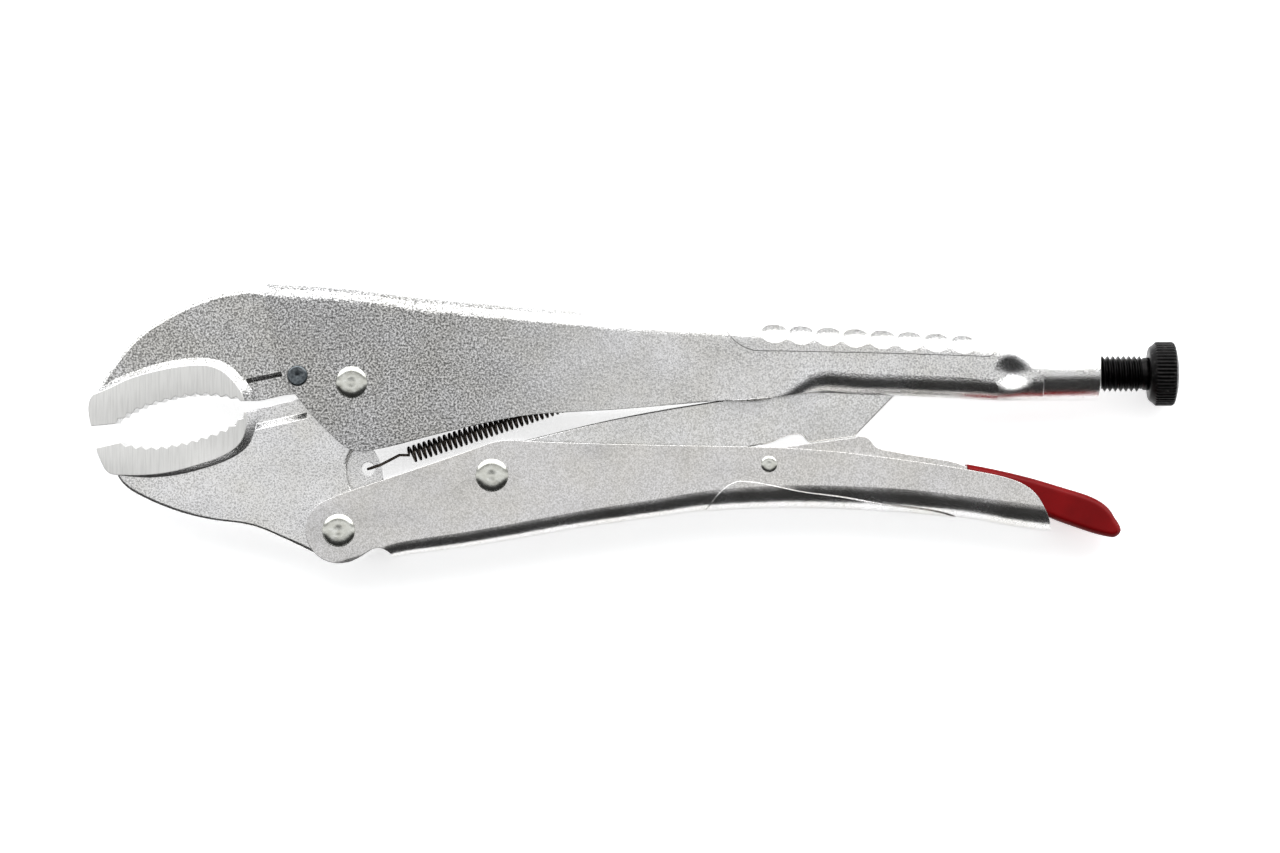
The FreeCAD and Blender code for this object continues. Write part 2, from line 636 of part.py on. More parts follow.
def release_lever():
    """Folded sheet lever, open below, that lifts the toggle link's foot; its tail is narrower."""
    width = jaw_thickness - 0.8
    solid = plate(lever_outline(), width)
    top, hump, _, _, _ = lever_side_view(lever_sheet)
    hollow = outline(lines([top[0], top[1]]), lines(top[1:]), curve(hump[:-1]),
                     lines([hump[-2], at(hump[-2].x, -48.0), at(lever_pivot.x - 8, -48.0),
                            at(lever_pivot.x - 8, top[0].y), top[0]]))
    solid = solid.cut(plate(hollow, width - 2 * lever_sheet))
    shoulder = dip_start - 1.0
    for side in (-1, 1):
        low = tail_width / 2 if side > 0 else -tail_width / 2 - 10
        solid = solid.cut(Part.makeBox(60, 60, 10, V(shoulder, -60, low)))
    return whole(solid.cut(rod(lever_pivot, lever_rivet_radius + running_fit, 40)))


def inset_points(points, distance):
    """Each corner of a closed clockwise outline moved inwards by distance."""
    moved = []
    for index, here in enumerate(points):
        before = points[index - 1]
        after = points[(index + 1) % len(points)]
        along = (after - before).normalize()
        moved.append(here + V(along.y, -along.x, 0) * distance)
    return moved


def lever_dip():
    """Plastic dipped over the lever's tail: a thick rounded paddle that the thumb lifts."""
    rim = [at(dip_start, -22.9), at(183.0, -25.1), at(191.7, -27.3), at(200.0, -29.8),
           at(206.5, -31.9), at(210.6, -34.2), at(213.4, -37.8), at(214.8, -39.9),
           at(215.2, -41.6), at(214.2, -43.0), at(212.4, -43.4), at(208.7, -42.6),
           at(202.3, -40.5), at(195.9, -38.1), at(190.0, -35.0), at(183.0, -32.2),
           at(dip_start, -29.4)]

    def edges(points):
        return [curve(points[:7]), curve(points[6:11]), curve(points[10:])] \
            + lines([points[-1], points[0]])

    half = inner_half - dip_side
    core = plate(outline(edges(rim)), 2 * (half - dip_round))
    sides = raised_face(edges(rim), edges(inset_points(rim, dip_round)), half - dip_round, half)
    solid = core.fuse(sides)
    return whole(solid.cut(plate(lever_outline(), tail_width)))


# ================================================================ rivets, pins, screw, spring
def rivet(place, shank, head, head_height):
    """A rivet across the handle, with a low domed head on each side."""
    edge = half_width
    rise = [(1.0, 0.0), (0.97, 0.3), (0.86, 0.62), (0.68, 0.84), (0.42, 0.96), (0.14, 1.0)]
    low = [(-edge - head_height * h, head * r) for r, h in reversed(rise)]
    high = [(edge + head_height * h, head * r) for r, h in rise]
    profile = low + [(-edge, shank), (edge, shank)] + high
    return turned(profile, place, Z_AXIS)


def jaw_pin():
    """Hardened pin that holds the fixed jaw in the handle, with flat bevelled ends."""
    tip = half_width + jaw_pin_proud
    bevel = 0.3
    profile = [(-tip, jaw_pin_radius - bevel), (-tip + bevel, jaw_pin_radius),
               (tip - bevel, jaw_pin_radius), (tip, jaw_pin_radius - bevel)]
    return turned(profile, jaw_pin_place, Z_AXIS)


def spring_end():
    """Where the spring's rear loop sits."""
    return polar(spring_hole, spring_length, spring_angle)


def anchor_pin():
    """Cross pin inside the upper handle that the spring hooks onto."""
    return rod(spring_end(), anchor_radius, 2 * inner_half)


def adjusting_screw():
    """M10 screw with a domed tip; the thread is drawn as rings of the right pitch and depth."""
    root = screw_radius - thread_depth
    thread_end = barrel_end + thread_showing
    profile = [(screw_tip, 1.6), (screw_tip + 0.5, 2.8), (screw_tip + 1.4, root)]
    start = screw_tip + 2.0
    turns = int((thread_end - start) / screw_pitch)
    for index in range(turns):
        x = start + index * screw_pitch
        profile += [(x + 0.12 * screw_pitch, root), (x + 0.44 * screw_pitch, screw_radius),
                    (x + 0.56 * screw_pitch, screw_radius), (x + 0.88 * screw_pitch, root)]
    knob_face = thread_end + 2.4
    profile += [(thread_end, root), (thread_end + 0.5, root + 0.45), (knob_face, root + 0.45),
                (knob_face, knob_stub), (knob_face + knob_rim, knob_stub)]
    return turned(profile, V(0, screw_height, 0), V(1, 0, 0))


def knob():
    """Knurled steel knob pressed onto the screw."""
    start = barrel_end + thread_showing + 2.4
    rim = start + shoulder_length
    crown = rim + knob_rim
    end = crown + crown_length
    profile = [(start, knob_radius - 1.9), (start + 0.5, knob_radius - 1.2),
               (rim - 0.4, knob_radius - 0.5), (rim, knob_radius - 0.15),
               (rim + 0.5, knob_radius), (crown - 0.9, knob_radius),
               (crown - 0.2, knob_radius - 0.5), (crown + 0.3, knob_radius - 1.6),
               (crown + 0.7, knob_radius - 3.0), (end - 0.15, knob_radius - 6.0),
               (end, knob_radius - 7.6)]
    axis = V(1, 0, 0)
    bore = Part.makeCylinder(knob_stub + running_fit, knob_rim + part_gap,
                             V(start, screw_height, 0), axis)
    return whole(turned(profile, V(0, screw_height, 0), axis).cut(bore))


def bent_rod(points, radius):
    """Round wire through the points, with a ball at each bend."""
    pieces = []
    for here, there in zip(points, points[1:]):
        run = there - here
        pieces.append(Part.makeCylinder(radius, run.Length, here, run))
    pieces += [Part.makeSphere(radius, point) for point in points[1:-1]]
    return pieces[0].fuse(pieces[1:])


def jaw_spring():
    """Extension spring that opens the jaw: a close coil drawn as a tube, with a hook each end."""
    direction = polar(V(0, 0, 0), 1, spring_angle)
    wire = spring_wire / 2
    hook = tab_thickness / 2 + wire + 0.12
    loop = anchor_radius + wire + 0.08
    coil_length = spring_length - hook_length - 2.2 * loop
    start = spring_hole + direction * hook_length
    coil = Part.makeCylinder(spring_radius, coil_length, start, direction)
    core = Part.makeCylinder(spring_radius - spring_wire, coil_length - 2 * spring_wire,
                             start + direction * spring_wire, direction)
    up = V(0, 0, 1)
    front = bent_rod([start + direction * wire, start - direction * 1.5 + up * hook * 0.8,
                      start - direction * 3.0 + up * hook, spring_hole + direction * 1.0 + up * hook,
                      spring_hole + up * (hook - 0.9), spring_hole - up * (hook - 0.9),
                      spring_hole + direction * 1.2 - up * hook], wire)
    ring = Part.makeTorus(loop, wire, spring_end(), Z_AXIS)
    rear = bent_rod([start + direction * (coil_length - wire),
                     spring_end() - direction * loop], wire)
    return whole(coil.cut(core).fuse([front, ring, rear]))


def main():
    os.makedirs("parts", exist_ok=True)
    pieces = {
        "upper_handle": upper_handle(),
        "upper_jaw": upper_jaw(),
        "main_pivot_rivet": rivet(V(0, 0, 0), main_rivet_radius, main_head_radius,
                                  rivet_head_height),
        "jaw_pin": jaw_pin(),
        "spring_anchor_pin": anchor_pin(),
        "lower_jaw": lower_jaw(),
        "lower_jaw_rivet": rivet(lower_pivot, link_rivet_radius, link_head_radius,
                                 rivet_head_height),
        "lower_handle": lower_handle(),
        "toggle_rivet": rivet(toggle_pivot, link_rivet_radius, link_head_radius,
                              rivet_head_height),
        "lever_rivet": rivet(lever_pivot, lever_rivet_radius, lever_head_radius,
                             lever_head_height),
        "toggle_link": toggle_link(),
        "release_lever": release_lever(),
        "lever_dip": lever_dip(),
        "adjusting_screw": adjusting_screw(),
        "knob": knob(),
        "jaw_spring": jaw_spring(),
    }
    box = FreeCAD.BoundBox()
    for solid in pieces.values():
        box.add(solid.optimalBoundingBox(True, False))
    shift = V(-box.Center.x, -box.Center.y, -box.ZMin)
    for name, solid in pieces.items():
        solid.translate(shift)
        solid.exportStep("parts/" + name + ".step")
        print(name, solid.ShapeType, solid.isValid(), round(solid.Volume, 1))
    print("shift", shift.x, shift.y, shift.z)
    print("size", [round(v, 2) for v in (box.XLength, box.YLength, box.ZLength)])


main()
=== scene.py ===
"""Locking pliers with curved toothed jaws, lying on their side on a white table.

Everything is in metres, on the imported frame: +X runs from the jaws to the adjusting knob,
+Y from the lower handle to the upper handle, +Z up across the tool's thickness.
"""
import math

import bpy
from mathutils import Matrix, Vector


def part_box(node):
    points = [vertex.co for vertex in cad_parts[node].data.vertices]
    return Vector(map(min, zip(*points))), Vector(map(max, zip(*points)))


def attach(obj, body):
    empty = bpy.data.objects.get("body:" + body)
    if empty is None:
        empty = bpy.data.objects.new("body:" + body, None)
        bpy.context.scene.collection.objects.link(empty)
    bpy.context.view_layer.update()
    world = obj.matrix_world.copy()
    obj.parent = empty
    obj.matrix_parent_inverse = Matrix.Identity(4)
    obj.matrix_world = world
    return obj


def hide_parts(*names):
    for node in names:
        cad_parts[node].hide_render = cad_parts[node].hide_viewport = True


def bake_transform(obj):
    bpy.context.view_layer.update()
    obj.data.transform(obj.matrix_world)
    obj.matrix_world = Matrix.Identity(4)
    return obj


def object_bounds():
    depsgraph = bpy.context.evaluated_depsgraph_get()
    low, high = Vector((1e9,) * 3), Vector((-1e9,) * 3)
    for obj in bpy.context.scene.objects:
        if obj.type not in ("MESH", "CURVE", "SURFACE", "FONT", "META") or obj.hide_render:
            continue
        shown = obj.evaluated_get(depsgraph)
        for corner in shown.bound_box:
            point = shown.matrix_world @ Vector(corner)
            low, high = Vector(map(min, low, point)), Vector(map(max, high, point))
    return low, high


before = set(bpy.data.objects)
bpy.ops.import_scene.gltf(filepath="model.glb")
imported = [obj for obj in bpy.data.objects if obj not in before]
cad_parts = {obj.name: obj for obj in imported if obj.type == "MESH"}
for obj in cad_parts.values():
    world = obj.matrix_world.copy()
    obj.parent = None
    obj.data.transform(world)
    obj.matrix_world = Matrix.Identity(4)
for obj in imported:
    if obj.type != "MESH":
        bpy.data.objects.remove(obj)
cad_low, cad_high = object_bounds()
mm = 0.001

# ---------------------------------------------------------------- camera
# A long lens looks straight down on the tool from high above, so the handles keep their
# true outline. The tool lies a little below the middle of the view.
view_width = 357.1 * mm
camera_height = 1300 * mm
look_at = Vector((1.5 * mm, -0.9 * mm, cad_high.z))

lens = bpy.data.cameras.new("long_lens")
lens.sensor_width = 36
lens.lens = lens.sensor_width * camera_height / view_width
lens.clip_start = 0.05
lens.clip_end = 20
camera = bpy.data.objects.new("camera", lens)
camera.location = look_at + Vector((0, 0, camera_height))
bpy.context.scene.collection.objects.link(camera)
bpy.context.scene.camera = camera
bpy.context.scene.view_settings.view_transform = "Standard"


# ---------------------------------------------------------------- table and light
# A white table in a light tent: the tent is bright beyond the upper handle, mid grey
# overhead, and has a black flag down to the table on the lower handle's side.
def linear(hexcode, alpha=1.0):
    """An sRGB hex colour as linear RGBA."""
    parts = [int(hexcode[i:i + 2], 16) / 255 for i in (0, 2, 4)]
    return [c / 12.92 if c <= 0.04045 else ((c + 0.055) / 1.055) ** 2.4 for c in parts] + [alpha]


def add_node(tree, kind, links=(), **settings):
    """A node with its settings, its input values and the links into its inputs.

    stops are those of a colour ramp, each a place with an sRGB hex colour or a linear grey.
    """
    node = tree.nodes.new(kind)
    for name, value in settings.items():
        if name == "inputs":
            for socket, number in value.items():
                node.inputs[socket].default_value = number
        elif name == "stops":
            elements = node.color_ramp.elements
            while len(elements) < len(value):
                elements.new(0.5)
            for element, (place, colour) in zip(elements, value):
                element.position = place
                element.color = linear(colour) if isinstance(colour, str) else (colour,) * 3 + (1,)
        else:
            setattr(node, name, value)
    for socket, source in dict(links).items():
        tree.links.new(source, node.inputs[socket])
    return node


tent = bpy.data.worlds.new("light_tent")
bpy.context.scene.world = tent
tent.use_nodes = True
tree = tent.node_tree
tree.nodes.clear()
direction = add_node(tree, "ShaderNodeTexCoord")
split = add_node(tree, "ShaderNodeSeparateXYZ", {"Vector": direction.outputs["Generated"]})
across = add_node(tree, "ShaderNodeMapRange", {"Value": split.outputs["Y"]},
                  inputs={"From Min": -1, "From Max": 1})
panels = add_node(tree, "ShaderNodeValToRGB", {"Fac": across.outputs["Result"]},
                  stops=[(0.00, 0.010), (0.30, 0.012), (0.385, 0.035), (0.44, 0.21),
                         (0.50, 0.31), (0.56, 0.26), (0.62, 0.12), (0.66, 0.10),
                         (0.71, 0.45), (0.78, 0.95), (1.00, 1.00)])
background = add_node(tree, "ShaderNodeBackground", {"Color": panels.outputs["Color"]},
                      inputs={"Strength": 3.4})
add_node(tree, "ShaderNodeOutputWorld", {"Surface": background.outputs["Background"]})

table_size = 6.0
table_gap = 0.2 * mm
bpy.ops.mesh.primitive_plane_add(size=table_size, location=(0, 0, -table_gap))
table = bpy.context.object
table.name = "table"
acrylic = bpy.data.materials.new("lit_white_acrylic")
acrylic.use_nodes = True
surface = acrylic.node_tree.nodes["Principled BSDF"]
surface.inputs["Base Color"].default_value = linear("F4F5F6")
surface.inputs["Roughness"].default_value = 0.8
surface.inputs["Emission Color"].default_value = linear("FFFFFF")
surface.inputs["Emission Strength"].default_value = 0.62
table.data.materials.append(acrylic)


# ---------------------------------------------------------------- upper handle
# Two cheeks pressed from one strip of steel about 2.3 mm thick, tumbled and then nickel
# plated. The plate's bumps follow the coarse grain of the tumbled sheet, and its colour is a
# painted glitter of black and white glints and grain shade, strongest at the jaw end and paler
# along X.
def new_material(name):
    """An empty node material with its shader, ready for a pattern."""
    material = bpy.data.materials.new(name)
    material.use_nodes = True
    return material, material.node_tree, material.node_tree.nodes["Principled BSDF"]


def grain_height_and_painted_glints(tree, place, grain, stops):
    """Speckle of one grain size: its height field, and its colours as painted glints and grain
    shade.
    """
    noise = add_node(tree, "ShaderNodeTexNoise", {"Vector": place},
                     inputs={"Scale": 1 / grain, "Detail": 2.0, "Roughness": 0.6})
    # The ramp's dark and white grains are painted shade and painted glints of the grain.
    colours = add_node(tree, "ShaderNodeValToRGB", {"Fac": noise.outputs["Fac"]}, stops=stops)
    return noise.outputs["Fac"], colours.outputs["Color"]


worn_radius = 0.25 * mm


def plated_steel(name, stops, grain, depth, roughness):
    """Nickel plate over grained steel: speckled with painted glints and shade, with a slow warm and
    cool drift in the plate.

    grain is the size of one grain and depth how far the grains stand up, both in metres.
    """
    material, tree, shader = new_material(name)
    place = add_node(tree, "ShaderNodeTexCoord").outputs["Object"]
    height, painted_glint_speckle = grain_height_and_painted_glints(tree, place, grain, stops)
    drift = add_node(tree, "ShaderNodeTexNoise", {"Vector": place},
                     inputs={"Scale": 1 / (14 * mm), "Detail": 3.0})
    tint = add_node(tree, "ShaderNodeValToRGB", {"Fac": drift.outputs["Fac"]},
                    stops=[(0.35, "F1F0EE"), (0.65, "FDFDFF")])
    # The base colour carries the painted glint speckle, tinted by the drift.
    base = add_node(tree, "ShaderNodeMix", {6: painted_glint_speckle, 7: tint.outputs["Color"]},
                    data_type="RGBA", blend_type="MULTIPLY", inputs={0: 1.0})
    gloss = add_node(tree, "ShaderNodeMapRange", {"Value": drift.outputs["Fac"]},
                     inputs={"From Min": 0.3, "From Max": 0.7, "To Min": roughness - 0.03,
                             "To Max": roughness + 0.04})
    worn_edge = add_node(tree, "ShaderNodeBevel", name="Worn edge", samples=6,
                         inputs={"Radius": worn_radius})
    waves = add_node(tree, "ShaderNodeTexNoise", {"Vector": place}, name="Waves",
                     inputs={"Scale": 1 / (26 * mm), "Detail": 1.0})
    unevenness = add_node(tree, "ShaderNodeBump", {"Height": waves.outputs["Fac"],
                                                   "Normal": worn_edge.outputs["Normal"]},
                          name="Unevenness", inputs={"Strength": 1.0, "Distance": 1.1 * mm})
    bump = add_node(tree, "ShaderNodeBump", {"Height": height,
                                             "Normal": unevenness.outputs["Normal"]},
                    name="Grain", inputs={"Strength": 1.0, "Distance": depth})
    shader.inputs["Metallic"].default_value = 1.0
    tree.links.new(base.outputs[2], shader.inputs["Base Color"])
    tree.links.new(gloss.outputs["Result"], shader.inputs["Roughness"])
    tree.links.new(bump.outputs["Normal"], shader.inputs["Normal"])
    return material


def fade_to_fine(material, grain, stops, start, end):
    """The same plate with its grain growing finer and its painted glints paler along X, from start
    to end.
    """
    tree = material.node_tree
    place = tree.nodes["Texture Coordinate"].outputs["Object"]
    height, painted_glint_speckle = grain_height_and_painted_glints(tree, place, grain, stops)
    along = add_node(tree, "ShaderNodeSeparateXYZ", {"Vector": place})
    fade = add_node(tree, "ShaderNodeMapRange", {"Value": along.outputs["X"]},
                    interpolation_type="SMOOTHSTEP", inputs={"From Min": start, "From Max": end})
    base = tree.nodes["Mix"]
    coarse = base.inputs[6].links[0].from_socket
    blend = add_node(tree, "ShaderNodeMix", {0: fade.outputs["Result"], 6: coarse, 7: painted_glint_speckle},
                     data_type="RGBA")
    tree.links.new(blend.outputs[2], base.inputs[6])
    bump = tree.nodes["Grain"]
    coarse_height = bump.inputs["Height"].links[0].from_socket
    level = add_node(tree, "ShaderNodeMix", {0: fade.outputs["Result"], 2: coarse_height,
                                             3: height}, data_type="FLOAT")
    tree.links.new(level.outputs[0], bump.inputs["Height"])


dent_softness = 3.0 * mm


def soften_dents(material, middle, reach):
    """Wide soft shading where the press dented the neck, within reach of middle along X."""
    tree = material.node_tree
    place = tree.nodes["Texture Coordinate"].outputs["Object"]
    along = add_node(tree, "ShaderNodeSeparateXYZ", {"Vector": place})
    dented = add_node(tree, "ShaderNodeMath", {0: along.outputs["X"]}, operation="COMPARE",
                      inputs={1: middle, 2: reach})
    radius = add_node(tree, "ShaderNodeMapRange", {"Value": dented.outputs[0]},
                      inputs={"To Min": worn_radius, "To Max": dent_softness})
    tree.links.new(radius.outputs["Result"], tree.nodes["Worn edge"].inputs["Radius"])


def finish_with(node_name, material):
    """The finish of a CAD piece that keeps its own shape."""
    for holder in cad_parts[node_name].material_slots:
        holder.material = material


handle_low, handle_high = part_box("upper_handle")
# The upper handle's speckle colours are painted glints and grain shade, coarse and dark at the jaw
# end.
coarse_plate = plated_steel("plate_on_tumbled_sheet",
                            [(0.36, "666665"), (0.50, "B4B4B3"), (0.62, "F0F0EF")],
                            grain=0.55 * mm, depth=0.070 * mm, roughness=0.22)
fade_to_fine(coarse_plate, grain=0.42 * mm,
             stops=[(0.36, "CACAC9"), (0.50, "F0F0EF"), (0.62, "FFFFFE")],
             start=handle_low.x + 45 * mm, end=handle_low.x + 125 * mm)
neck_middle = handle_high.x - 24 * mm
neck_reach = 5 * mm
soften_dents(coarse_plate, middle=neck_middle, reach=neck_reach)
finish_with("upper_handle", coarse_plate)


# ---------------------------------------------------------------- jaws
# Two drop forgings, nickel plated over the tumbled skin. Only the faces beside the teeth
# are ground after plating, so they are smooth and pale with fine upright grinding lines.
ground_roughness = 0.42


def forged_and_ground(name, stops, ground_height):
    """Grained plate, with the ground finish wherever a face stands at the ground height."""
    material = plated_steel(name, stops, grain=0.5 * mm, depth=0.055 * mm, roughness=0.23)
    tree = material.node_tree
    shader = tree.nodes["Principled BSDF"]
    place = add_node(tree, "ShaderNodeTexCoord").outputs["Object"]
    height = add_node(tree, "ShaderNodeSeparateXYZ", {"Vector": place})
    middle = (cad_low.z + cad_high.z) / 2
    from_middle = add_node(tree, "ShaderNodeMath", {0: height.outputs["Z"]},
                           operation="SUBTRACT", inputs={1: middle})
    away = add_node(tree, "ShaderNodeMath", {0: from_middle.outputs[0]}, operation="ABSOLUTE")
    ground = add_node(tree, "ShaderNodeMath", {0: away.outputs[0]}, operation="GREATER_THAN",
                      inputs={1: ground_height})
    stretched = add_node(tree, "ShaderNodeMapping", {"Vector": place},
                         inputs={"Scale": (1 / (0.5 * mm), 1 / (9 * mm), 1)})
    lines = add_node(tree, "ShaderNodeTexNoise", {"Vector": stretched.outputs["Vector"]},
                     inputs={"Scale": 1.0, "Detail": 2.0})
    line_colour = add_node(tree, "ShaderNodeValToRGB", {"Fac": lines.outputs["Fac"]},
                           stops=[(0.32, "E3E3E1"), (0.60, "F0F0EE")])
    plated_colour = shader.inputs["Base Color"].links[0].from_socket
    colour = add_node(tree, "ShaderNodeMix", {0: ground.outputs[0], 6: plated_colour,
                                              7: line_colour.outputs["Color"]},
                      data_type="RGBA")
    plated_gloss = shader.inputs["Roughness"].links[0].from_socket
    gloss = add_node(tree, "ShaderNodeMix", {0: ground.outputs[0], 2: plated_gloss},
                     data_type="FLOAT", inputs={3: ground_roughness})
    grained = add_node(tree, "ShaderNodeMath", {1: ground.outputs[0]}, operation="SUBTRACT",
                       inputs={0: 1.0})
    tree.links.new(colour.outputs[2], shader.inputs["Base Color"])
    tree.links.new(gloss.outputs[0], shader.inputs["Roughness"])
    tree.links.new(grained.outputs[0], tree.nodes["Grain"].inputs["Strength"])
    return material


jaw_low, jaw_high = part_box("lower_jaw")
ground_face = (jaw_high.z - jaw_low.z) / 2 - 0.12 * mm
# The speckle colours of both jaws are painted glints and grain shade: dark and strong on the fixed
# jaw, pale on the moving jaw.
finish_with("upper_jaw", forged_and_ground(
    "plated_forging_fixed_jaw", [(0.36, "787877"), (0.50, "C4C4C2"), (0.62, "F6F6F5")],
    ground_face))
finish_with("lower_jaw", forged_and_ground(
    "plated_forging_moving_jaw", [(0.36, "CACAC9"), (0.50, "F4F4F3"), (0.62, "FFFFFE")],
    ground_face))


# ---------------------------------------------------------------- lower handle, link and lever
# The closing handle is pressed from the same strip but tumbled finer, so its plate is an even
# satin, speckled only faintly with painted glints and grain shade. The toggle link is a flat
# forging, and the lever is folded from thin sheet.
satin_plate = plated_steel("satin_plate_on_sheet",
                           [(0.36, "CAC9C7"), (0.50, "E1E0DE"), (0.62, "F3F2F1")],
                           grain=0.4 * mm, depth=0.012 * mm, roughness=0.24)
finish_with("lower_handle", satin_plate)
finish_with("release_lever", satin_plate)
# The link's speckle colours are also faint painted glints and grain shade.
link_plate = plated_steel("plate_on_flat_link",
                          [(0.36, "C8C8C6"), (0.50, "E6E6E4"), (0.62, "FAFAF9")],
                          grain=0.42 * mm, depth=0.015 * mm, roughness=0.25)
finish_with("toggle_link", link_plate)


# ---------------------------------------------------------------- rivets
# Mild steel rivets, orbitally headed: a low dome with a shallow dish in the middle where the
# tool pressed, bright and slightly warm.
def ring_faces(rows, segments, inward=False):
    """Quads between neighbouring rings of points; inward turns their order round."""
    faces = []
    for row in range(rows - 1):
        for step in range(segments):
            here = row * segments + step
            beside = row * segments + (step + 1) % segments
            if inward:
                faces.append((here, here + segments, beside + segments, beside))
            else:
                faces.append((here, beside, beside + segments, here + segments))
    return faces


def end_caps(rows, segments):
    """One face over the first ring of points and one over the last."""
    last = (rows - 1) * segments
    return [tuple(range(segments - 1, -1, -1)), tuple(range(last, last + segments))]


def turned_mesh(name, profile, centre, axis, segments=96):
    """A closed turned piece: profile is (distance along the axis, radius) from end to end."""
    rotation = axis.to_track_quat("Z", "Y").to_matrix()
    points = []
    for along, radius in profile:
        for step in range(segments):
            angle = 2 * math.pi * step / segments
            ring_point = Vector((radius * math.cos(angle), radius * math.sin(angle), along))
            points.append(centre + rotation @ ring_point)
    faces = ring_faces(len(profile), segments) + end_caps(len(profile), segments)
    return add_piece(name, points, faces)


def add_piece(name, points, faces):
    """A smooth-shaded mesh object in the scene."""
    mesh = bpy.data.meshes.new(name)
    mesh.from_pydata([tuple(point) for point in points], [], faces)
    mesh.polygons.foreach_set("use_smooth", [True] * len(mesh.polygons))
    mesh.update()
    piece = bpy.data.objects.new(name, mesh)
    bpy.context.scene.collection.objects.link(piece)
    return piece


def rivet_material():
    """Bright turned steel, slightly warm, with a fine mottle in its tone, shine and surface."""
    material, tree, shader = new_material("headed_rivet_steel")
    place = add_node(tree, "ShaderNodeTexCoord").outputs["Object"]
    mottle = add_node(tree, "ShaderNodeTexNoise", {"Vector": place},
                      inputs={"Scale": 1 / (1.6 * mm), "Detail": 3.0})
    colour = add_node(tree, "ShaderNodeValToRGB", {"Fac": mottle.outputs["Fac"]},
                      stops=[(0.30, "C6C6BE"), (0.55, "DADBD4"), (0.72, "F0F1EC")])
    gloss = add_node(tree, "ShaderNodeMapRange", {"Value": mottle.outputs["Fac"]},
                     inputs={"From Min": 0.3, "From Max": 0.7, "To Min": 0.12, "To Max": 0.24})
    bump = add_node(tree, "ShaderNodeBump", {"Height": mottle.outputs["Fac"]},
                    inputs={"Strength": 0.5, "Distance": 0.08 * mm})
    shader.inputs["Metallic"].default_value = 1.0
    tree.links.new(colour.outputs["Color"], shader.inputs["Base Color"])
    tree.links.new(gloss.outputs["Result"], shader.inputs["Roughness"])
    tree.links.new(bump.outputs["Normal"], shader.inputs["Normal"])
    return material


rivet_steel = rivet_material()
dome_rise = 0.20       # of the head's radius, as is the dish's depth
dish_depth = 0.035
point_radius = 0.02 * mm


def headed_rivet(node_name, body, dish):
    """A rivet over its CAD node: two domed heads, each with a dish of that share of the head."""
    low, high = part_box(node_name)
    centre = (low + high) / 2
    half_length = (high.z - low.z) / 2
    head = (high.x - low.x) / 2
    rise = head * dome_rise
    rows = 22
    upper = []
    for index in range(rows + 1):
        share = 1 - index / rows
        dome = rise * (0.22 * share ** 2 + 0.78 * share ** 8)
        hollow = dish_depth * head * max(0.0, 1 - (share / dish) ** 2) ** 2
        upper.append((half_length - dome - hollow, max(head * share, point_radius)))
    lower = [(-along, radius) for along, radius in reversed(upper)]
    rivet = turned_mesh(node_name + "_headed", lower + upper, centre, Vector((0, 0, 1)))
    rivet.data.materials.append(rivet_steel)
    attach(rivet, body)
    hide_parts(node_name)


headed_rivet("main_pivot_rivet", "fixed_frame", 0.42)
headed_rivet("lower_jaw_rivet", "moving_jaw", 0.42)
headed_rivet("toggle_rivet", "closing_handle", 0.42)
headed_rivet("lever_rivet", "closing_handle", 0.50)


# ---------------------------------------------------------------- pins
# The jaw pin is hardened and blued, with a flat dished end and a centre mark; the bright
# chamfer round it is worn. The spring's anchor pin is plain steel, out of sight.
def blued_steel():
    """Heat-blued hard steel, dark with a cold sheen and a few rubbed spots."""
    material, tree, shader = new_material("blued_pin_steel")
    place = add_node(tree, "ShaderNodeTexCoord").outputs["Object"]
    mottle = add_node(tree, "ShaderNodeTexNoise", {"Vector": place},
                      inputs={"Scale": 1 / (0.7 * mm), "Detail": 2.0})
    colour = add_node(tree, "ShaderNodeValToRGB", {"Fac": mottle.outputs["Fac"]},
                      stops=[(0.35, "4B5155"), (0.60, "6A7074"), (0.78, "8A8F92")])
    gloss = add_node(tree, "ShaderNodeMapRange", {"Value": mottle.outputs["Fac"]},
                     inputs={"To Min": 0.25, "To Max": 0.45})
    shader.inputs["Metallic"].default_value = 1.0
    tree.links.new(colour.outputs["Color"], shader.inputs["Base Color"])
    tree.links.new(gloss.outputs["Result"], shader.inputs["Roughness"])
    return material


pin_low, pin_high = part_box("jaw_pin")
pin_radius = (pin_high.x - pin_low.x) / 2
pin_half = (pin_high.z - pin_low.z) / 2
pin_end = [(pin_half - 0.55 * mm, 1.0), (pin_half - 0.12 * mm, 0.97), (pin_half, 0.86),
           (pin_half - 0.03 * mm, 0.78), (pin_half - 0.05 * mm, 0.70), (pin_half - 0.06 * mm, 0.16),
           (pin_half - 0.20 * mm, 0.04)]
pin_profile = [(-along, pin_radius * share) for along, share in reversed(pin_end)]
pin_profile += [(along, pin_radius * share) for along, share in pin_end]
pin = turned_mesh("jaw_pin_dished", pin_profile, (pin_low + pin_high) / 2, Vector((0, 0, 1)), 64)
pin.data.materials.append(blued_steel())
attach(pin, "fixed_frame")
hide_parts("jaw_pin")
finish_with("spring_anchor_pin", rivet_steel)


# ---------------------------------------------------------------- jaw spring
# An open-coiled extension spring of 0.8 mm music wire, oiled black. Its front end is a long
# hook through the jaw's tab, and its rear loop goes round the anchor pin in the handle.
wire_radius = 0.40 * mm
coil_radius = 2.5 * mm - wire_radius
coil_pitch = 1.5 * mm
hook_length = 12.2 * mm
rear_hook = 4.4 * mm
hook_overhang = 0.43 * mm     # the hook's wire reaches this far past the hole's middle
tab_half = 2.5 * mm
wire_gap = 0.1 * mm
spring_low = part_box("jaw_spring")[0]
anchor_low, anchor_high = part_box("spring_anchor_pin")
anchor = (anchor_low + anchor_high) / 2
tab_hole = Vector((spring_low.x + hook_overhang, spring_low.y + hook_overhang, anchor.z))
spring_axis = (anchor - tab_hole).normalized()
spring_side = Vector((0, 0, 1)).cross(spring_axis)
spring_up = Vector((0, 0, 1))
coil_start = tab_hole + spring_axis * hook_length
coil_length = (anchor - tab_hole).length - hook_length - rear_hook


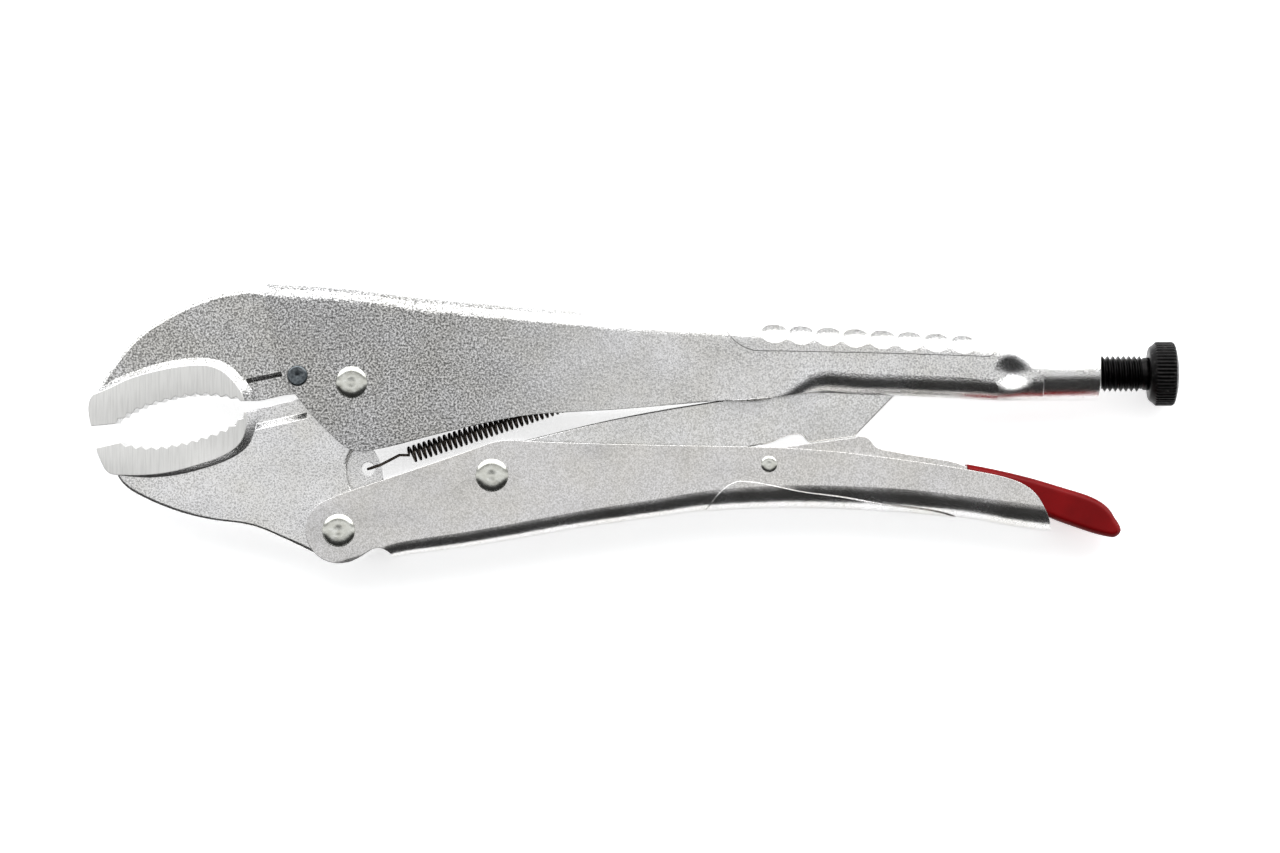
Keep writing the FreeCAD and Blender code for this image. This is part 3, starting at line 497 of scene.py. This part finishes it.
def tube_along(name, path, radius, sides=10):
    """Round wire along a path of points, closed at both ends."""
    points = []
    side = (path[1] - path[0]).orthogonal().normalized()
    for index, here in enumerate(path):
        before = path[max(index - 1, 0)]
        after = path[min(index + 1, len(path) - 1)]
        along = (after - before).normalized()
        side = (side - along * side.dot(along)).normalized()
        other = along.cross(side)
        for step in range(sides):
            angle = 2 * math.pi * step / sides
            points.append(here + (side * math.cos(angle) + other * math.sin(angle)) * radius)
    faces = ring_faces(len(path), sides) + end_caps(len(path), sides)
    return add_piece(name, points, faces)


def spring_path():
    """The wire's middle line: front hook, coil, rear hook and the loop round the anchor."""
    half_tab = tab_half + wire_radius + wire_gap
    path = [tab_hole + spring_axis * 1.4 * mm - spring_up * half_tab,
            tab_hole + spring_axis * 0.5 * mm - spring_up * half_tab,
            tab_hole - spring_up * (half_tab - 0.9 * mm),
            tab_hole + spring_up * (half_tab - 0.9 * mm),
            tab_hole + spring_axis * 0.8 * mm + spring_up * half_tab,
            tab_hole + spring_axis * 4.0 * mm + spring_up * half_tab,
            tab_hole + spring_axis * (hook_length - 2.6 * mm) + spring_up * half_tab
            + spring_side * 0.9 * mm]
    steps_per_turn = 18
    turns = coil_length / coil_pitch
    for index in range(int(turns * steps_per_turn) + 1):
        angle = 2 * math.pi * index / steps_per_turn
        along = coil_start + spring_axis * coil_pitch * index / steps_per_turn
        around = spring_up * math.cos(angle) + spring_side * math.sin(angle)
        path.append(along + around * coil_radius)
    loop_radius = (anchor_high.x - anchor_low.x) / 2 + wire_radius + wire_gap
    path.append(anchor - spring_axis * (loop_radius + 1.2 * mm) + spring_side * 0.6 * mm)
    loop_steps = 14
    loop_start = math.pi + 0.3
    loop_sweep = 1.85 * math.pi
    for index in range(loop_steps + 1):
        angle = loop_start - loop_sweep * index / loop_steps
        path.append(anchor + spring_axis * loop_radius * math.cos(angle)
                    + spring_side * loop_radius * math.sin(angle))
    return path


def oiled_wire():
    """Black oiled spring wire: dark, with thin bright lines where the light catches it."""
    material, tree, shader = new_material("oiled_spring_wire")
    place = add_node(tree, "ShaderNodeTexCoord").outputs["Object"]
    streak = add_node(tree, "ShaderNodeTexNoise", {"Vector": place},
                      inputs={"Scale": 1 / (0.6 * mm), "Detail": 2.0})
    colour = add_node(tree, "ShaderNodeValToRGB", {"Fac": streak.outputs["Fac"]},
                      stops=[(0.35, "2A2522"), (0.65, "5A524B")])
    gloss = add_node(tree, "ShaderNodeMapRange", {"Value": streak.outputs["Fac"]},
                     inputs={"To Min": 0.22, "To Max": 0.40})
    shader.inputs["Metallic"].default_value = 1.0
    tree.links.new(colour.outputs["Color"], shader.inputs["Base Color"])
    tree.links.new(gloss.outputs["Result"], shader.inputs["Roughness"])
    return material


spring = tube_along("jaw_spring_coil", spring_path(), wire_radius)
spring.data.materials.append(oiled_wire())
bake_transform(spring)
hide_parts("jaw_spring")


# ---------------------------------------------------------------- dip on the release lever
# Thick red vinyl that the lever's tail was dipped in: glossy and soft-edged, slightly cloudy
# in its colour, with a faint orange-peel skin.
def red_vinyl():
    """Glossy dipped vinyl with a slow drift in its red."""
    material, tree, shader = new_material("dipped_red_vinyl")
    place = add_node(tree, "ShaderNodeTexCoord").outputs["Object"]
    cloud = add_node(tree, "ShaderNodeTexNoise", {"Vector": place},
                     inputs={"Scale": 1 / (9 * mm), "Detail": 3.0})
    colour = add_node(tree, "ShaderNodeValToRGB", {"Fac": cloud.outputs["Fac"]},
                      stops=[(0.30, "680306"), (0.70, "7D060A")])
    peel = add_node(tree, "ShaderNodeTexNoise", {"Vector": place},
                    inputs={"Scale": 1 / (1.1 * mm), "Detail": 2.0})
    gloss = add_node(tree, "ShaderNodeMapRange", {"Value": peel.outputs["Fac"]},
                     inputs={"To Min": 0.30, "To Max": 0.46})
    bump = add_node(tree, "ShaderNodeBump", {"Height": peel.outputs["Fac"]},
                    inputs={"Strength": 0.35, "Distance": 0.05 * mm})
    shader.inputs["IOR"].default_value = 1.52
    shader.inputs["Specular IOR Level"].default_value = 0.12
    tree.links.new(colour.outputs["Color"], shader.inputs["Base Color"])
    tree.links.new(gloss.outputs["Result"], shader.inputs["Roughness"])
    tree.links.new(bump.outputs["Normal"], shader.inputs["Normal"])
    return material


dip_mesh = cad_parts["lever_dip"].data.copy()
dip_mesh.materials.clear()
dip = bpy.data.objects.new("lever_dip_vinyl", dip_mesh)
bpy.context.scene.collection.objects.link(dip)
remesh = dip.modifiers.new("skin", "REMESH")
remesh.mode = "VOXEL"
remesh.voxel_size = 0.35 * mm
remesh.use_smooth_shade = True
smooth = dip.modifiers.new("run_soft", "SMOOTH")
smooth.factor = 0.5
smooth.iterations = 8
bpy.context.view_layer.update()
poured = bpy.data.meshes.new_from_object(dip.evaluated_get(
    bpy.context.evaluated_depsgraph_get()))
dip.modifiers.clear()
dip.data = poured
dip.data.materials.clear()
dip.data.materials.append(red_vinyl())
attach(dip, "release")
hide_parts("lever_dip")


# ---------------------------------------------------------------- adjusting screw and knob
# An M10 screw with a rolled thread of 1.5 mm pitch, and a turned knob pressed onto it with
# straight knurling round its rim. Both are chemically blackened and oiled.
def black_oxide(name, wear):
    """Chemical black on steel: nearly black, softly shining, rubbed a little paler in scattered
    spots.
    """
    material, tree, shader = new_material(name)
    place = add_node(tree, "ShaderNodeTexCoord").outputs["Object"]
    bloom = add_node(tree, "ShaderNodeTexNoise", {"Vector": place},
                     inputs={"Scale": 1 / (1.2 * mm), "Detail": 4.0})
    colour = add_node(tree, "ShaderNodeValToRGB", {"Fac": bloom.outputs["Fac"]},
                      stops=[(0.35, "161616"), (0.62, "1F1E1E"), (0.80, wear)])
    gloss = add_node(tree, "ShaderNodeMapRange", {"Value": bloom.outputs["Fac"]},
                     inputs={"From Min": 0.3, "From Max": 0.7, "To Min": 0.28, "To Max": 0.45})
    bump = add_node(tree, "ShaderNodeBump", {"Height": bloom.outputs["Fac"]},
                    inputs={"Strength": 0.4, "Distance": 0.03 * mm})
    shader.inputs["Metallic"].default_value = 1.0
    tree.links.new(colour.outputs["Color"], shader.inputs["Base Color"])
    tree.links.new(gloss.outputs["Result"], shader.inputs["Roughness"])
    tree.links.new(bump.outputs["Normal"], shader.inputs["Normal"])
    return material


screw_low, screw_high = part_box("adjusting_screw")
knob_low, knob_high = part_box("knob")
screw_middle = (screw_low + screw_high) / 2
screw_radius = (screw_high.z - screw_low.z) / 2
thread_pitch = 1.5 * mm
thread_depth = 0.85 * mm
neck_length = 2.0 * mm
thread_from = screw_low.x + 2.0 * mm
thread_to = knob_low.x - neck_length


def thread_radius(x, angle):
    """The screw's radius at a place along it and round it: a right-hand V thread."""
    phase = (x / thread_pitch - angle / (2 * math.pi)) % 1.0
    ridge = min(max((0.5 - abs(phase - 0.5)) * 2.6 - 0.15, 0.0), 1.0)
    run_in = min(max((x - thread_from) / thread_pitch, 0.0), 1.0)
    run_out = min(max((thread_to - x) / (0.3 * thread_pitch), 0.0), 1.0)
    root = screw_radius - thread_depth
    return root + thread_depth * ridge * run_in * run_out


def screw_mesh():
    """The whole screw from its domed tip to the plain end inside the knob."""
    segments = 48
    rows_per_turn = 12
    root = screw_radius - thread_depth
    rows = [(screw_low.x, point_radius, False), (screw_low.x, 1.6 * mm, False),
            (screw_low.x + 0.5 * mm, 2.8 * mm, False), (screw_low.x + 1.4 * mm, root, False)]
    count = int((thread_to - thread_from) / thread_pitch * rows_per_turn)
    for index in range(count + 1):
        rows.append((thread_from + (thread_to - thread_from) * index / count, None, True))
    rows += [(thread_to + 0.4 * mm, root + 0.3 * mm, False),
             (thread_to + 0.7 * mm, root + 0.45 * mm, False),
             (knob_low.x + 0.3 * mm, root + 0.45 * mm, False),
             (knob_low.x + 0.3 * mm, point_radius, False)]
    points = []
    for x, radius, threaded in rows:
        for step in range(segments):
            angle = 2 * math.pi * step / segments
            reach = thread_radius(x, angle) if threaded else radius
            points.append(Vector((x, screw_middle.y + reach * math.cos(angle),
                                  screw_middle.z + reach * math.sin(angle))))
    return add_piece("threaded_screw", points, ring_faces(len(rows), segments, inward=True))


screw = screw_mesh()
screw.data.materials.append(black_oxide("black_oxide_thread", "343332"))
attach(screw, "screw")
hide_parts("adjusting_screw")

knob_radius = (knob_high.z - knob_low.z) / 2
knurl_count = 50
knurl_depth = 0.42 * mm
knob_shoulder = 1.7 * mm
knob_crown = 1.1 * mm


def knob_mesh():
    """The knob: a sloping shoulder, a knurled rim of rounded bars, and a flat domed crown."""
    per_knurl = 10
    segments = knurl_count * per_knurl
    rim_from = knob_low.x + knob_shoulder
    rim_to = knob_high.x - knob_crown
    rows = [(knob_low.x, 4.6 * mm, 0.0), (knob_low.x, knob_radius - 2.0 * mm, 0.0),
            (knob_low.x + 0.25 * mm, knob_radius - 1.45 * mm, 0.0),
            (knob_low.x + 1.0 * mm, knob_radius - 0.95 * mm, 0.0),
            (rim_from - 0.35 * mm, knob_radius - 0.62 * mm, 0.0),
            (rim_from - 0.1 * mm, knob_radius - 0.42 * mm, 0.1),
            (rim_from + 0.15 * mm, knob_radius - 0.14 * mm, 0.7),
            (rim_from + 0.5 * mm, knob_radius, 1.0),
            (rim_to - 0.9 * mm, knob_radius, 1.0),
            (rim_to - 0.4 * mm, knob_radius - 0.16 * mm, 0.75),
            (rim_to - 0.1 * mm, knob_radius - 0.45 * mm, 0.1),
            (rim_to + 0.1 * mm, knob_radius - 0.85 * mm, 0.0),
            (rim_to + 0.4 * mm, knob_radius - 1.9 * mm, 0.0),
            (rim_to + 0.8 * mm, knob_radius - 3.6 * mm, 0.0),
            (knob_high.x - 0.15 * mm, knob_radius - 6.0 * mm, 0.0),
            (knob_high.x - 0.02 * mm, 0.3 * mm, 0.0)]
    points = []
    for x, radius, cut in rows:
        for step in range(segments):
            angle = 2 * math.pi * step / segments
            wave = abs(math.sin(angle * knurl_count / 2))
            groove = knurl_depth * cut * (1 - wave ** 0.55)
            reach = radius - groove
            points.append(Vector((x, screw_middle.y + reach * math.cos(angle),
                                  screw_middle.z + reach * math.sin(angle))))
    faces = ring_faces(len(rows), segments, inward=True)
    last = (len(rows) - 1) * segments
    faces.append(tuple(range(last + segments - 1, last - 1, -1)))
    return add_piece("knurled_knob", points, faces)


knob = knob_mesh()
knob.data.materials.append(black_oxide("black_oxide_knurl", "4A4948"))
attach(knob, "screw_knob")
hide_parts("knob")
